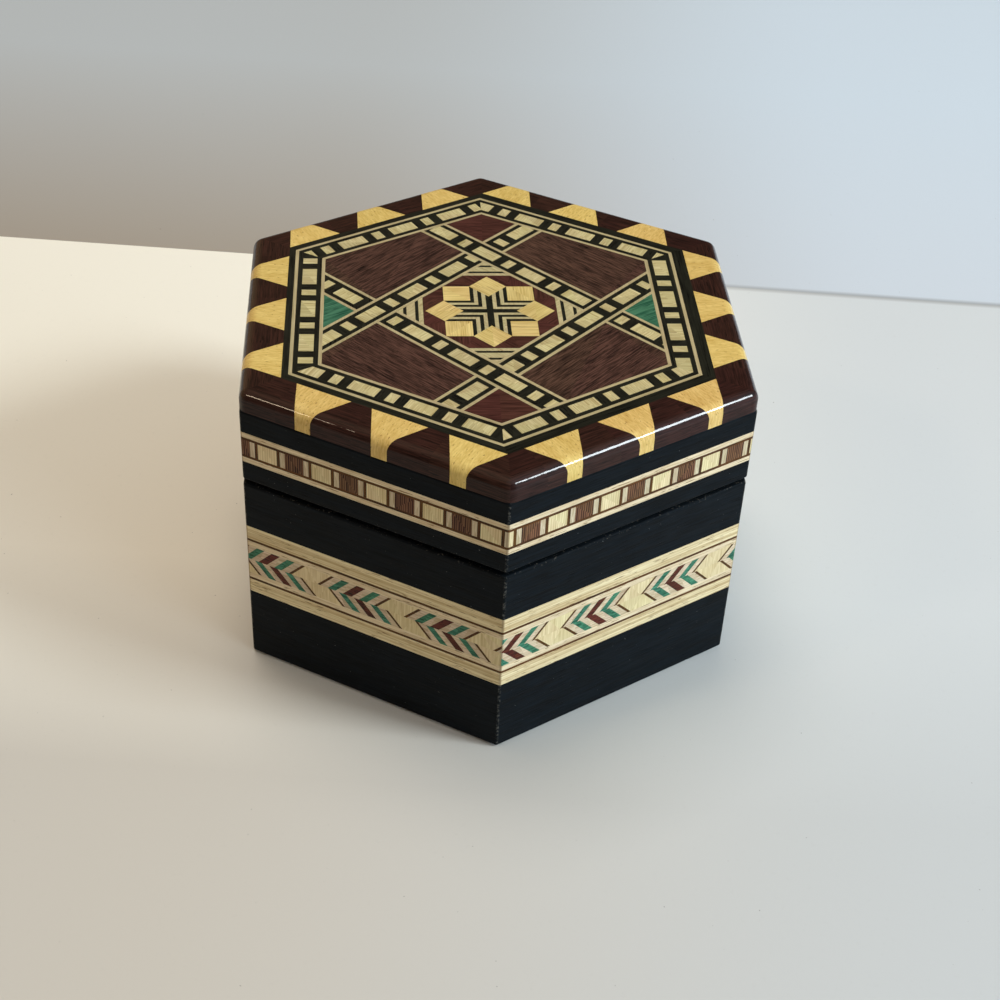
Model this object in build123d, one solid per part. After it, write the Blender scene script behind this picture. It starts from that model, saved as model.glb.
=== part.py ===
from build123d import *
import math
import os

# Six-sided inlaid wooden trinket box with a hinged lid. All sizes are in millimetres.
# The origin is the middle of the underside, +Z is up, the front face looks towards -Y
# and the hinge is on the back face, towards +Y. Every board, strip, block and chevron is
# a piece of its own, and neighbouring pieces meet face to face.

# The box as a whole
CORNER_REACH = 50.0  # from the middle to a corner of the outline
BASE_HEIGHT = 39.2
SEAM_GAP = 0.85  # the line of shadow between the rims
LID_WALL_HEIGHT = 14.3
TOP_THICKNESS = 3.8  # mahogany and maple border of the lid

# Boards, veneers and cloth
WALL = 4.5
SIDE_VENEER = 1.0
TOP_VENEER = 1.0
FLOOR_BOARD = 3.0
LID_BOARD_SINK = 2.0  # how far the lid board hangs down between the lid walls
FELT = 1.0
FLOOR_PAD = 1.6
WALL_LINING = 1.0
LINING_DROP = 0.4  # the lining ends this far below the rim
CEILING_LINING = 0.8
VENEER_LIFT = 0.3  # the side veneer ends this far above the table

# Rounded edges
WALL_EDGE_ROUNDING = 0.45
TOP_EDGE_ROUNDING = 2.0
CORNER_EXTRA = 0.15  # an upright corner is rounded this much more than the edges it meets

# Base band, from its lower edge up to its middle line
BASE_BAND_RISE = 15.05
BASE_BAND_EDGE = 2.8
BASE_BAND_DARK = 0.5
BASE_BAND_PALE = 1.15
CHEVRON_ROW = 3.0  # height of one of the two rows of slanted pieces
CHEVRON_SLANT = 0.94  # sideways run of a piece for each millimetre of height
CHEVRON_DARK = 0.6
CHEVRON_PALE = 1.5
CHEVRON_GREEN = 1.5
CHEVRON_RED = 1.7
CHEVRON_PAUSE = 5.2  # plain maple between two groups

# Lid band
LID_BAND_RISE = 3.95  # above the lid's lower rim
LID_BAND_PALE = 1.0
LID_BAND_DARK = 0.5
LID_BAND_BLOCKS = 3.1
LID_MAPLE_BLOCK = 3.7
LID_BROWN_BLOCK = 3.65
LID_WHITE_BAR = 0.95
LID_DIVIDER = 0.6

# Top of the lid: teeth of the border
BORDER_WIDTH = 6.85  # from the outer face in to the black line
TEETH_PER_SIDE = 3
TOOTH_GAP = 3.85  # mahogany between two teeth, at the black line
TOOTH_LEFT_GAP = 3.1  # from the left corner of the black line to the first tooth
TOOTH_RIGHT_GAP = 0.1  # from the last tooth to the right corner
TOOTH_TIP = 2.9  # width on the outer face

# Top of the lid: strip of the ring and of the lattice
BLACK_BORDER = 1.7
RING_SHIFT = (-0.5, -0.2)  # the ring's middle, from the border's
PALE_LINE = 0.6
BLACK_LINE = 0.85
BLOCK_WIDTH = 2.55
LONG_BLOCK = 5.2
SHORT_BLOCK = 1.8
BLACK_BLOCK = 1.85
LATTICE_TURN = -14.5  # degrees
TRIANGLE_DEPTH = 5.45  # from the ring in to the corner of the lattice's square
LATTICE_SHIFT = (-0.3, -0.6)  # the lattice's middle, in its own directions
SMALLEST_CHIP = 0.02  # a smaller offcut is left out, in square or cubic millimetres
MITRE_CHIP = 0.35  # a smaller tip of maple at a mitre is left black, in square millimetres

# Star in the middle of the lattice
STAR_MARGIN = 0.4  # from a square's outer corner to the corner stripes
CROSS_BAR = 1.2
CHEVRON_LINES = 4  # pale and dark in turn, between a bar and a square
CORNER_PALE_LINE = 0.8
CORNER_DARK_LINE = 0.6
CORNER_PALE_BAND = 1.5

# Hinge
HINGE_LENGTH = 22.0
LEAF_PLAY = 0.05  # between the two leaves, which fill the rest of the seam
LEAF_INSET = 0.8  # from the wall's inner face to the leaf's front edge
KNUCKLE_RADIUS = 1.3
KNUCKLES = 3
KNUCKLE_PLAY = 0.08  # along the pin, between two knuckles
PIN_RADIUS = 0.55
PIN_PLAY = 0.03  # all round, between the pin and its bore
PIN_INSET = 0.57  # from the back face in to the pin's middle
GROOVE_PLAY = 0.2  # between the knuckles and the groove round them
BRAD_RADIUS = 0.45
BRAD_HEAD_RADIUS = 0.85
BRAD_HEAD = 0.2
BRAD_LENGTH = 6.0
BRAD_PLAY = 0.02
BRAD_SPREAD = 15.0  # between the two brads of a leaf

# Sides in order round the box, with where the patterns of each start
SIDES = ("front", "front_right", "back_right", "back", "back_left", "front_left")
BACK = SIDES.index("back")
UPPER_CHEVRON_START = (-2.9, -5.3, -1.5, -4.2, -2.2, -3.6)  # from the left corner
LOWER_CHEVRON_START = (-0.7, -4.7, -0.2, -3.3, -0.9, -2.0)
LID_BAND_START = (3.3, -2.7, 1.2, 4.1, -1.4, 2.3)
RING_BLOCK = (3.55, -2.35, 3.85, -2.6, -1.1, -0.15)  # middle of a long block, from mid-side
LATTICE_BLOCK = ((5.75, 3.05), (-2.7, 2.35), (0.5, -1.0), (-6.45, -0.3))  # of a strip's two parts

# Heights
FLOOR_TOP = FELT + FLOOR_BOARD
LID_BOTTOM = BASE_HEIGHT + SEAM_GAP
LID_WALL_TOP = LID_BOTTOM + LID_WALL_HEIGHT
TOP = LID_WALL_TOP + TOP_THICKNESS
INLAY_BOTTOM = TOP - TOP_VENEER
SEAM_MIDDLE = BASE_HEIGHT + SEAM_GAP / 2

# Distances from the middle out to the flat sides
TAN_30 = math.tan(math.radians(30))
OUTER = CORNER_REACH * math.cos(math.radians(30))
CORE_OUTER = OUTER - SIDE_VENEER
CORE_INNER = CORE_OUTER - WALL
LINING_INNER = CORE_INNER - WALL_LINING
BORDER_REACH = OUTER - BORDER_WIDTH
RING_OUTER = BORDER_REACH - BLACK_BORDER
STRIP = 2 * PALE_LINE + 2 * BLACK_LINE + BLOCK_WIDTH
RING_INNER = RING_OUTER - STRIP
SQUARE_HALF = (RING_INNER - TRIANGLE_DEPTH) / math.sqrt(2) - STRIP
LATTICE_REACH = SQUARE_HALF + STRIP / 2  # from the lattice's middle to the middle of a strip
FAR = 2 * CORNER_REACH  # past every edge of the box
TOOTH_ROW = 2 * BORDER_REACH * TAN_30 - TOOTH_LEFT_GAP - TOOTH_RIGHT_GAP
TOOTH_PITCH = (TOOTH_ROW + TOOTH_GAP) / TEETH_PER_SIDE
TOOTH_ROOT = TOOTH_PITCH - TOOTH_GAP  # width at the black line
OVERCUT = 1.0  # a piece is cut this much too large before its outer face is trimmed

# Layers of the bands and strips, and the rhythms along them, as (name, size)
HALF_BASE_BAND = (
    ("edge", BASE_BAND_EDGE),
    ("dark", BASE_BAND_DARK),
    ("pale", BASE_BAND_PALE),
    ("row", CHEVRON_ROW),
)
BASE_BAND = HALF_BASE_BAND + HALF_BASE_BAND[::-1]
CHEVRON_GROUP = (
    ("dark", CHEVRON_DARK),
    ("pale", CHEVRON_PALE),
    ("green", CHEVRON_GREEN),
    ("pale", CHEVRON_PALE),
    ("red", CHEVRON_RED),
    ("pale", CHEVRON_PALE),
    ("green", CHEVRON_GREEN),
    ("pale", CHEVRON_PALE),
    ("dark", CHEVRON_DARK),
    ("maple", CHEVRON_PAUSE),
)
LID_BAND = (
    ("pale", LID_BAND_PALE),
    ("dark", LID_BAND_DARK),
    ("blocks", LID_BAND_BLOCKS),
    ("dark", LID_BAND_DARK),
    ("pale", LID_BAND_PALE),
)
LID_RHYTHM = (
    ("maple", LID_MAPLE_BLOCK),
    ("divider", LID_DIVIDER),
    ("white", LID_WHITE_BAR),
    ("brown", LID_BROWN_BLOCK),
    ("white", LID_WHITE_BAR),
    ("divider", LID_DIVIDER),
)
TOP_STRIP = (
    ("pale_line", PALE_LINE),
    ("black_line", BLACK_LINE),
    ("blocks", BLOCK_WIDTH),
    ("black_line", BLACK_LINE),
    ("pale_line", PALE_LINE),
)
TOP_RHYTHM = (
    ("maple_block", LONG_BLOCK),
    ("black_block", BLACK_BLOCK),
    ("maple_block", SHORT_BLOCK),
    ("black_block", BLACK_BLOCK),
)


def total(layers):
    """The sizes of layers added up."""
    return sum(size for _, size in layers)


def stacked(start, layers):
    """Each layer's name, with where it starts and ends."""
    for name, size in layers:
        yield name, start, start + size
        start += size


def repeated(rhythm, start, low, high):
    """The same for a rhythm that repeats both ways from start, where it meets a span."""
    period = total(rhythm)
    start -= period * math.ceil((start - low) / period)
    while start < high:
        for name, near, far in stacked(start, rhythm):
            if far > low and near < high:
                yield name, near, far
        start += period


def side_angle(side):
    """The direction that a side looks in, in degrees."""
    return -90 + 60 * side


def turned(points, degrees):
    """Points turned about the middle."""
    c = math.cos(math.radians(degrees))
    s = math.sin(math.radians(degrees))
    return [(c * x - s * y, s * x + c * y) for x, y in points]


def on_side(points, side):
    """Points given as (along the side to the right, out from the middle), placed on the plan."""
    return turned([(out, along) for along, out in points], side_angle(side))


def clipped(points, degrees, reach):
    """The part of a convex outline within a distance from the middle in one direction."""
    c = math.cos(math.radians(degrees))
    s = math.sin(math.radians(degrees))
    kept = []
    for (x0, y0), (x1, y1) in zip(points, points[1:] + points[:1]):
        past0 = c * x0 + s * y0 - reach
        past1 = c * x1 + s * y1 - reach
        if past0 <= 0:
            kept.append((x0, y0))
        if past0 * past1 < 0:
            share = past0 / (past0 - past1)
            kept.append((x0 + share * (x1 - x0), y0 + share * (y1 - y0)))
    return kept


def area(points):
    """The area of an outline."""
    pairs = zip(points, points[1:] + points[:1])
    return abs(sum(x0 * y1 - x1 * y0 for (x0, y0), (x1, y1) in pairs)) / 2


def rectangle(left, right, low, high):
    """The corners of an upright rectangle."""
    return [(left, low), (right, low), (right, high), (left, high)]


def hexagon(reach):
    """The corners of a six-sided outline, by the distance to its sides."""
    corner = (-reach * TAN_30, reach)
    return [on_side([corner], side)[0] for side in range(len(SIDES))]


def mitred(side, inner, outer):
    """The outline of a mitred strip along one side, on the plan."""
    return on_side(
        [
            (-inner * TAN_30, inner),
            (inner * TAN_30, inner),
            (outer * TAN_30, outer),
            (-outer * TAN_30, outer),
        ],
        side,
    )


def prism(points, low, high):
    """An outline on the plan made solid between two heights."""
    return extrude(Pos(0, 0, low) * Polygon(*points, align=None), amount=high - low, dir=(0, 0, 1))


def save(name, pieces):
    """Writes one node from its pieces."""
    solids = [solid for piece in pieces for solid in piece.solids()]
    export_step(Compound(solids), f"parts/{name}.step")


def save_groups(prefix, groups):
    """Writes a node for each named group of pieces."""
    for name, pieces in groups.items():
        save(prefix + name, pieces)


def rounded_block(low, high, rounding, lower_edges_too):
    """The outline of the box as a block with rounded corners and edges."""
    block = prism(hexagon(OUTER), low, high)
    block = fillet(block.edges().filter_by(Axis.Z), rounding + CORNER_EXTRA)
    rims = list(block.edges().group_by(Axis.Z)[-1])
    if lower_edges_too:
        rims += list(block.edges().group_by(Axis.Z)[0])
    return fillet(rims, rounding)


def trimmed(piece, block):
    """The solids of a piece that lie within a block, without dust."""
    cut = piece & block
    if cut is None:
        return []
    return [solid for solid in cut.solids() if solid.volume > SMALLEST_CHIP]


def sectors(block):
    """A block cut into six by the mitres of its corners."""
    reach = OUTER + OVERCUT
    corners = [(0, 0), (-reach * TAN_30, reach), (reach * TAN_30, reach)]
    return [block & prism(on_side(corners, side), -OVERCUT, TOP + OVERCUT) for side in range(len(SIDES))]


def side_piece(side, points, sector):
    """An outline on the face of a side, as (from mid-side, height), made into veneer."""
    angle = math.radians(side_angle(side))
    out = Vector(math.cos(angle), math.sin(angle), 0)
    along = Vector(-math.sin(angle), math.cos(angle), 0)
    face = Plane(origin=out * CORE_OUTER, x_dir=along, z_dir=out) * Polygon(*points, align=None)
    return trimmed(extrude(face, amount=SIDE_VENEER + OVERCUT, dir=out), sector)


def side_strips(low, high, blocks):
    """A strip of side veneer right round the box, in six mitred lengths."""
    half = (OUTER + OVERCUT) * TAN_30
    strip = rectangle(-half, half, low, high)
    return [solid for side, block in enumerate(blocks) for solid in side_piece(side, strip, block)]


def wall_boards(low, high):
    """The six mitred boards between two heights."""
    return [prism(mitred(side, CORE_INNER, CORE_OUTER), low, high) for side in range(len(SIDES))]


def save_walls(prefix, boards, cuts):
    """Writes the boards, with the hinge's cuts in the one at the back."""
    for side, name in enumerate(SIDES):
        board = boards[side] - cuts if side == BACK else boards[side]
        save(prefix + name, [board])


def with_groove(pieces):
    """Pieces with the hinge's groove cut out of them."""
    return [piece - hinge_groove() for piece in pieces]


# The hinge

PIN_Y = OUTER - PIN_INSET
LEAF = (SEAM_GAP - LEAF_PLAY) / 2
LEAF_FRONT = CORE_INNER + LEAF_INSET
BRAD_Y = (LEAF_FRONT + PIN_Y - KNUCKLE_RADIUS - GROOVE_PLAY) / 2
KNUCKLE_PITCH = HINGE_LENGTH / KNUCKLES


def hinge_rod(radius, middle, length):
    """A rod along the hinge's line."""
    return Pos(middle, PIN_Y, SEAM_MIDDLE) * Rot(0, 90, 0) * Cylinder(radius, length)


def hinge_groove():
    """The room that is cut round the knuckles, along the whole hinge."""
    return hinge_rod(KNUCKLE_RADIUS + GROOVE_PLAY, 0, HINGE_LENGTH + 2 * GROOVE_PLAY)


def knuckle_middles(first):
    """Where the knuckles of one leaf are: every second one."""
    return [(i - (KNUCKLES - 1) / 2) * KNUCKLE_PITCH for i in range(first, KNUCKLES, 2)]


def leaf(low, first, up):
    """One leaf with its knuckles. It lies on its rim and is nailed down in direction up."""
    depth = PIN_Y - LEAF_FRONT
    body = Pos(0, LEAF_FRONT + depth / 2, low + LEAF / 2) * Box(HINGE_LENGTH, depth, LEAF)
    for middle in knuckle_middles(1 - first):
        body -= hinge_rod(KNUCKLE_RADIUS + GROOVE_PLAY, middle, KNUCKLE_PITCH + KNUCKLE_PLAY)
    for middle in knuckle_middles(first):
        body += hinge_rod(KNUCKLE_RADIUS, middle, KNUCKLE_PITCH - KNUCKLE_PLAY)
    body -= hinge_rod(PIN_RADIUS + PIN_PLAY, 0, HINGE_LENGTH + OVERCUT)
    return body - brad_pair(low, up, BRAD_PLAY)


def brad_pair(low, up, play):
    """The two brads of a leaf, or with play, the holes that they go into."""
    face = low if up > 0 else low + LEAF
    pair = []
    for x in (-BRAD_SPREAD / 2, BRAD_SPREAD / 2):
        head = Pos(x, BRAD_Y, face + up * BRAD_HEAD / 2) * Cylinder(BRAD_HEAD_RADIUS + play, BRAD_HEAD)
        shank = Pos(x, BRAD_Y, face + up * BRAD_LENGTH / 2) * Cylinder(BRAD_RADIUS + play, BRAD_LENGTH)
        pair.append(head + shank)
    return pair


def save_hinge():
    """Writes the leaves, the pin and the brads."""
    save("hinge_leaf_base", [leaf(BASE_HEIGHT, 0, -1)])
    save("hinge_leaf_lid", [leaf(LID_BOTTOM - LEAF, 1, 1)])
    save("hinge_pin", [hinge_rod(PIN_RADIUS, 0, HINGE_LENGTH)])
    save("hinge_brads_base", brad_pair(BASE_HEIGHT, -1, 0))
    save("hinge_brads_lid", brad_pair(LID_BOTTOM - LEAF, 1, 0))


# The base

def chevron_row(side, start, middle, up, sector, groups):
    """One row of slanted pieces, which lean away from the band's middle line."""
    half = CORNER_REACH / 2
    lean = CHEVRON_SLANT * CHEVRON_ROW
    edge = middle + up * CHEVRON_ROW
    for name, near, far in repeated(CHEVRON_GROUP, start - half, -half - lean, half):
        points = [(near, middle), (far, middle), (far + lean, edge), (near + lean, edge)]
        groups[name] += side_piece(side, points, sector)


def save_base_band(blocks):
    """Writes the base's band: strips that run right round, and two rows of chevrons."""
    strips = {"edge": [], "dark": [], "pale": []}
    for name, low, high in stacked(BASE_BAND_RISE, BASE_BAND):
        if name in strips:
            strips[name] += side_strips(low, high, blocks)
    middle = BASE_BAND_RISE + total(HALF_BASE_BAND)
    groups = {"dark": [], "pale": [], "green": [], "red": [], "maple": []}
    for side, sector in enumerate(blocks):
        chevron_row(side, UPPER_CHEVRON_START[side], middle, 1, sector, groups)
        chevron_row(side, LOWER_CHEVRON_START[side], middle, -1, sector, groups)
    save("base_band_edge_strips", strips["edge"])
    save("base_band_dark_lines", strips["dark"])
    save("base_band_pale_lines", strips["pale"])
    save_groups("base_chevrons_", groups)


def save_base():
    """Writes the base: boards, felt, linings and side veneers."""
    cuts = [hinge_groove()] + brad_pair(BASE_HEIGHT, -1, BRAD_PLAY)
    save_walls("base_wall_", wall_boards(0, BASE_HEIGHT), cuts)
    save("base_floor_board", [prism(hexagon(CORE_INNER), FELT, FLOOR_TOP)])
    save("base_underside_felt", [prism(hexagon(CORE_INNER), 0, FELT)])
    save("base_floor_pad", [prism(hexagon(LINING_INNER), FLOOR_TOP, FLOOR_TOP + FLOOR_PAD)])
    lining_top = BASE_HEIGHT - LINING_DROP
    sides = range(len(SIDES))
    lining = [prism(mitred(side, LINING_INNER, CORE_INNER), FLOOR_TOP, lining_top) for side in sides]
    save("base_wall_lining", lining)
    blocks = sectors(rounded_block(VENEER_LIFT, BASE_HEIGHT, WALL_EDGE_ROUNDING, True))
    band_top = BASE_BAND_RISE + total(BASE_BAND)
    save("base_veneer_lower", side_strips(0, BASE_BAND_RISE, blocks))
    save("base_veneer_upper", with_groove(side_strips(band_top, BASE_HEIGHT, blocks)))
    save_base_band(blocks)


# The lid

def save_lid_band(blocks):
    """Writes the lid's band: lines that run right round, and blocks between them."""
    strips = {"pale": [], "dark": []}
    groups = {"maple": [], "divider": [], "white": [], "brown": []}
    half = CORNER_REACH / 2
    for name, low, high in stacked(LID_BOTTOM + LID_BAND_RISE, LID_BAND):
        if name in strips:
            strips[name] += side_strips(low, high, blocks)
            continue
        for side, sector in enumerate(blocks):
            for wood, near, far in repeated(LID_RHYTHM, LID_BAND_START[side] - half, -half, half):
                groups[wood] += side_piece(side, rectangle(near, far, low, high), sector)
    save("lid_band_pale_lines", strips["pale"])
    save("lid_band_dark_lines", strips["dark"])
    save("lid_band_maple_blocks", groups["maple"])
    save("lid_band_brown_blocks", groups["brown"])
    save("lid_band_white_bars", groups["white"])
    save("lid_band_dark_dividers", groups["divider"])


def save_lid_walls():
    """Writes the lid's boards, ceiling lining and side veneers."""
    cuts = [hinge_groove()] + brad_pair(LID_BOTTOM - LEAF, 1, BRAD_PLAY)
    save_walls("lid_wall_", wall_boards(LID_BOTTOM, LID_WALL_TOP), cuts)
    board_bottom = LID_WALL_TOP - LID_BOARD_SINK
    board = prism(hexagon(CORE_INNER), board_bottom, LID_WALL_TOP)
    board += prism(hexagon(BORDER_REACH), LID_WALL_TOP, INLAY_BOTTOM)
    save("lid_board", [board])
    ceiling = prism(hexagon(CORE_INNER), board_bottom - CEILING_LINING, board_bottom)
    save("lid_ceiling_lining", [ceiling])
    blocks = sectors(rounded_block(LID_BOTTOM, LID_WALL_TOP, WALL_EDGE_ROUNDING, True))
    band_low = LID_BOTTOM + LID_BAND_RISE
    band_high = band_low + total(LID_BAND)
    save("lid_veneer_lower", with_groove(side_strips(LID_BOTTOM, band_low, blocks)))
    save("lid_veneer_upper", side_strips(band_high, LID_WALL_TOP, blocks))
    save_lid_band(blocks)


def tooth_half(out):
    """Half the width of a tooth, so far out from the middle."""
    taper = (TOOTH_TIP - TOOTH_ROOT) / 2 / (OUTER - BORDER_REACH)
    return TOOTH_ROOT / 2 + (out - BORDER_REACH) * taper


def save_border():
    """Writes the border: maple teeth, and the mahogany between them and round the corners."""
    block = rounded_block(LID_WALL_TOP, TOP, TOP_EDGE_ROUNDING, False)
    edge = OUTER + OVERCUT
    root, tip = tooth_half(BORDER_REACH), tooth_half(edge)
    teeth, ground = [], []
    for side in range(len(SIDES)):
        first = TOOTH_LEFT_GAP - BORDER_REACH * TAN_30 + root
        middles = [first + i * TOOTH_PITCH for i in range(TEETH_PER_SIDE)]
        for x in middles:
            outline = [(x - root, BORDER_REACH), (x + root, BORDER_REACH), (x + tip, edge), (x - tip, edge)]
            teeth += trimmed(prism(on_side(outline, side), LID_WALL_TOP, TOP), block)
        for x0, x1 in zip(middles, middles[1:]):
            outline = [(x0 + root, BORDER_REACH), (x1 - root, BORDER_REACH)]
            outline += [(x1 - tip, edge), (x0 + tip, edge)]
            ground += trimmed(prism(on_side(outline, side), LID_WALL_TOP, TOP), block)
        before = [
            (BORDER_REACH * TAN_30, BORDER_REACH),
            (middles[-1] + root, BORDER_REACH),
            (middles[-1] + tip, edge),
            (edge * TAN_30, edge),
        ]
        after = [(middles[0] - tip, edge), (middles[0] - root, BORDER_REACH)]
        outline = on_side(before, side) + on_side(after, side + 1)
        ground += trimmed(prism(outline, LID_WALL_TOP, TOP), block)
    save("lid_border_teeth", teeth)
    save("lid_border_mahogany", ground)


def add_inlay(groups, name, points):
    """Adds a piece of the top veneer, unless it is a mere chip."""
    if area(points) > SMALLEST_CHIP:
        groups[name].append(prism(points, INLAY_BOTTOM, TOP))


def on_ring(points):
    """Points of the ring, which isn't quite in the middle of the border."""
    shift_x, shift_y = RING_SHIFT
    return [(x + shift_x, y + shift_y) for x, y in points]


def add_ring(groups):
    """The black line and the strip that run round just inside the border."""
    for side in range(len(SIDES)):
        inner = on_ring(mitred(side, RING_OUTER, BORDER_REACH))[:2]
        outer = mitred(side, RING_OUTER, BORDER_REACH)[2:]
        add_inlay(groups, "black_border", inner + outer)
        for name, low, high in stacked(RING_INNER, TOP_STRIP):
            if name != "blocks":
                add_inlay(groups, name, on_ring(mitred(side, low, high)))
                continue
            half = high * TAN_30
            start = RING_BLOCK[side] - LONG_BLOCK / 2
            for wood, near, far in repeated(TOP_RHYTHM, start, -half, half):
                block = rectangle(near, far, low, high)
                block = clipped(clipped(block, -30, 0), 210, 0)
                wood = "black_block" if area(block) < MITRE_CHIP else wood
                add_inlay(groups, wood, on_ring(on_side(block, side)))


def on_lattice(points, quarter):
    """Points of a quarter of the lattice placed on the plan, and kept inside the ring."""
    shift_x, shift_y = LATTICE_SHIFT
    points = [(x + shift_x, y + shift_y) for x, y in turned(points, -90 * quarter)]
    points = turned(points, LATTICE_TURN)
    for side in range(len(SIDES)):
        out, _ = turned([RING_SHIFT], -side_angle(side))[0]
        points = clipped(points, side_angle(side), RING_INNER + out)
    return points


def add_lattice(groups):
    """Four strips like a pinwheel: each passes over one neighbour and butts against the other."""
    left = -LATTICE_REACH - STRIP / 2
    parts = ((-FAR, SQUARE_HALF), (SQUARE_HALF + STRIP, FAR))
    for quarter in range(4):
        for (low, high), middle in zip(parts, LATTICE_BLOCK[quarter]):
            for name, near, far in stacked(left, TOP_STRIP):
                if name != "blocks":
                    add_inlay(groups, name, on_lattice(rectangle(near, far, low, high), quarter))
                    continue
                start = middle - LONG_BLOCK / 2
                for wood, below, above in repeated(TOP_RHYTHM, start, low, high):
                    block = rectangle(near, far, max(below, low), min(above, high))
                    add_inlay(groups, wood, on_lattice(block, quarter))


def add_panels(groups):
    """The eight fields between the lattice and the ring."""
    outer = SQUARE_HALF + STRIP
    side_field = rectangle(-SQUARE_HALF, SQUARE_HALF, outer, FAR)
    corner_field = rectangle(outer, FAR, outer, FAR)
    for quarter in range(4):
        across = quarter % 2
        add_inlay(groups, "panels_across" if across else "panels_along", on_lattice(side_field, quarter))
        add_inlay(groups, "panels_red" if across else "triangles_green", on_lattice(corner_field, quarter))


def star_sizes():
    """From the middle to a square's middle, and a square's half diagonal."""
    middle = SQUARE_HALF / (1 + math.tan(math.radians(22.5)))
    return middle, SQUARE_HALF - middle


def add_star(groups):
    """Eight squares in a ring, with nested chevrons inside and red-brown ground outside."""
    middle, half = star_sizes()
    square = [(middle - half, 0), (middle, half), (middle + half, 0), (middle, -half)]
    slant = math.sqrt(2)
    cut = SQUARE_HALF + STAR_MARGIN
    # From the outer tip of a square on an axis round to the next, which lies on a diagonal
    ground = [
        (SQUARE_HALF, 0),
        (middle, half),
        (SQUARE_HALF / slant, SQUARE_HALF / slant),
        (cut / slant, cut / slant),
        (SQUARE_HALF, cut * slant - SQUARE_HALF),
    ]
    mirrored = [(y, x) for x, y in ground]
    for quarter in range(4):
        add_inlay(groups, "star_squares", on_lattice(square, quarter))
        add_inlay(groups, "star_squares", on_lattice(turned(square, 45), quarter))
        for outline in (ground, mirrored):
            add_outline(groups, "star_ground", outline, quarter)


def add_outline(groups, name, points, quarter):
    """Adds a piece of the star whose outline isn't convex, so it isn't clipped by the ring."""
    shift_x, shift_y = LATTICE_SHIFT
    points = [(x + shift_x, y + shift_y) for x, y in turned(points, -90 * quarter)]
    add_inlay(groups, name, turned(points, LATTICE_TURN))


def add_star_bars(groups):
    """The cross of dark bars, and the pale and dark chevrons that fill its four corners."""
    middle, half = star_sizes()
    tip = middle - half
    bar = CROSS_BAR / 2
    arrow = [(tip + bar, bar), (tip, 0), (tip + bar, -bar)]
    long_bar = arrow + turned(arrow, 180)
    short_bar = [(bar, bar)] + arrow + [(bar, -bar)]
    add_outline(groups, "star_cross_bars", turned(long_bar, 135), 0)
    add_outline(groups, "star_cross_bars", turned(short_bar, 45), 0)
    add_outline(groups, "star_cross_bars", turned(short_bar, 225), 0)
    width = tip / math.sqrt(2)
    line = (width - bar) / CHEVRON_LINES
    for quarter in range(4):
        for i in range(CHEVRON_LINES):
            low = (bar + i * line) * math.sqrt(2)
            high = (bar + (i + 1) * line) * math.sqrt(2)
            chevron = [(0, low), (width, width + low), (width, width + high), (0, high)]
            chevron += [(-width, width + high), (-width, width + low)]
            name = "star_dark_chevrons" if i % 2 else "star_pale_chevrons"
            add_outline(groups, name, chevron, quarter)


def add_corner_stripes(groups):
    """Stripes across the four corners of the lattice's square, outside the star."""
    stripes = (
        ("stripes_pale", CORNER_PALE_LINE),
        ("stripes_dark", CORNER_DARK_LINE),
        ("stripes_pale", CORNER_PALE_BAND),
        ("stripes_dark", CORNER_DARK_LINE),
        ("stripes_pale", FAR),
    )
    corner = rectangle(0, SQUARE_HALF, 0, SQUARE_HALF)
    for quarter in range(4):
        for name, near, far in stacked(SQUARE_HALF + STAR_MARGIN, stripes):
            stripe = clipped(clipped(corner, 45, far), 225, -near)
            add_inlay(groups, name, on_lattice(stripe, quarter))


def save_top():
    """Writes the border and the marquetry of the top."""
    save_border()
    names = ("black_border", "pale_line", "black_line", "maple_block", "black_block")
    names += ("panels_across", "panels_along", "panels_red", "triangles_green")
    names += ("star_squares", "star_ground", "star_cross_bars", "star_dark_chevrons", "star_pale_chevrons")
    names += ("stripes_pale", "stripes_dark")
    groups = {name: [] for name in names}
    add_ring(groups)
    add_lattice(groups)
    add_panels(groups)
    add_star(groups)
    add_star_bars(groups)
    add_corner_stripes(groups)
    save_groups("top_", groups)


os.makedirs("parts", exist_ok=True)
save_base()
save_lid_walls()
save_top()
save_hinge()
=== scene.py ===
import math

import bmesh
import bpy
from mathutils import Matrix, Vector


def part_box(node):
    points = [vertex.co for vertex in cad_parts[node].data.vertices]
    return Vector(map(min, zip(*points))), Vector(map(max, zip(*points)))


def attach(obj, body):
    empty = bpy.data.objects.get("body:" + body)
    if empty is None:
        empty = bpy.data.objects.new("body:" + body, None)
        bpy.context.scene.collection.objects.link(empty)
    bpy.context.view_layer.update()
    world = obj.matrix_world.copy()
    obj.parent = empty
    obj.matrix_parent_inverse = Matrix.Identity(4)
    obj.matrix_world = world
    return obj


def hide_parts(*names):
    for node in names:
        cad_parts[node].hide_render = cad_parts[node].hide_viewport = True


# The looks of the six-sided inlaid trinket box. Blender's lengths are in metres. The shared sizes
# below and every place in a material are in millimetres, and MM turns them into metres.

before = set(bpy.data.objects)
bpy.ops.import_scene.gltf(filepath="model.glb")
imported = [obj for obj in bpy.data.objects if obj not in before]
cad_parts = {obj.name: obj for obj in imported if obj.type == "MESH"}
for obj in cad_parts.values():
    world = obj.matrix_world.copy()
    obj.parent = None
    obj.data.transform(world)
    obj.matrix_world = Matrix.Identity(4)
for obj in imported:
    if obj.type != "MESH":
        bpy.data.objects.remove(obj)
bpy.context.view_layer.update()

MM = 0.001
TAN_30 = math.tan(math.radians(30))
SIXTH = math.radians(60)
EIGHTH = math.radians(45)

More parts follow.
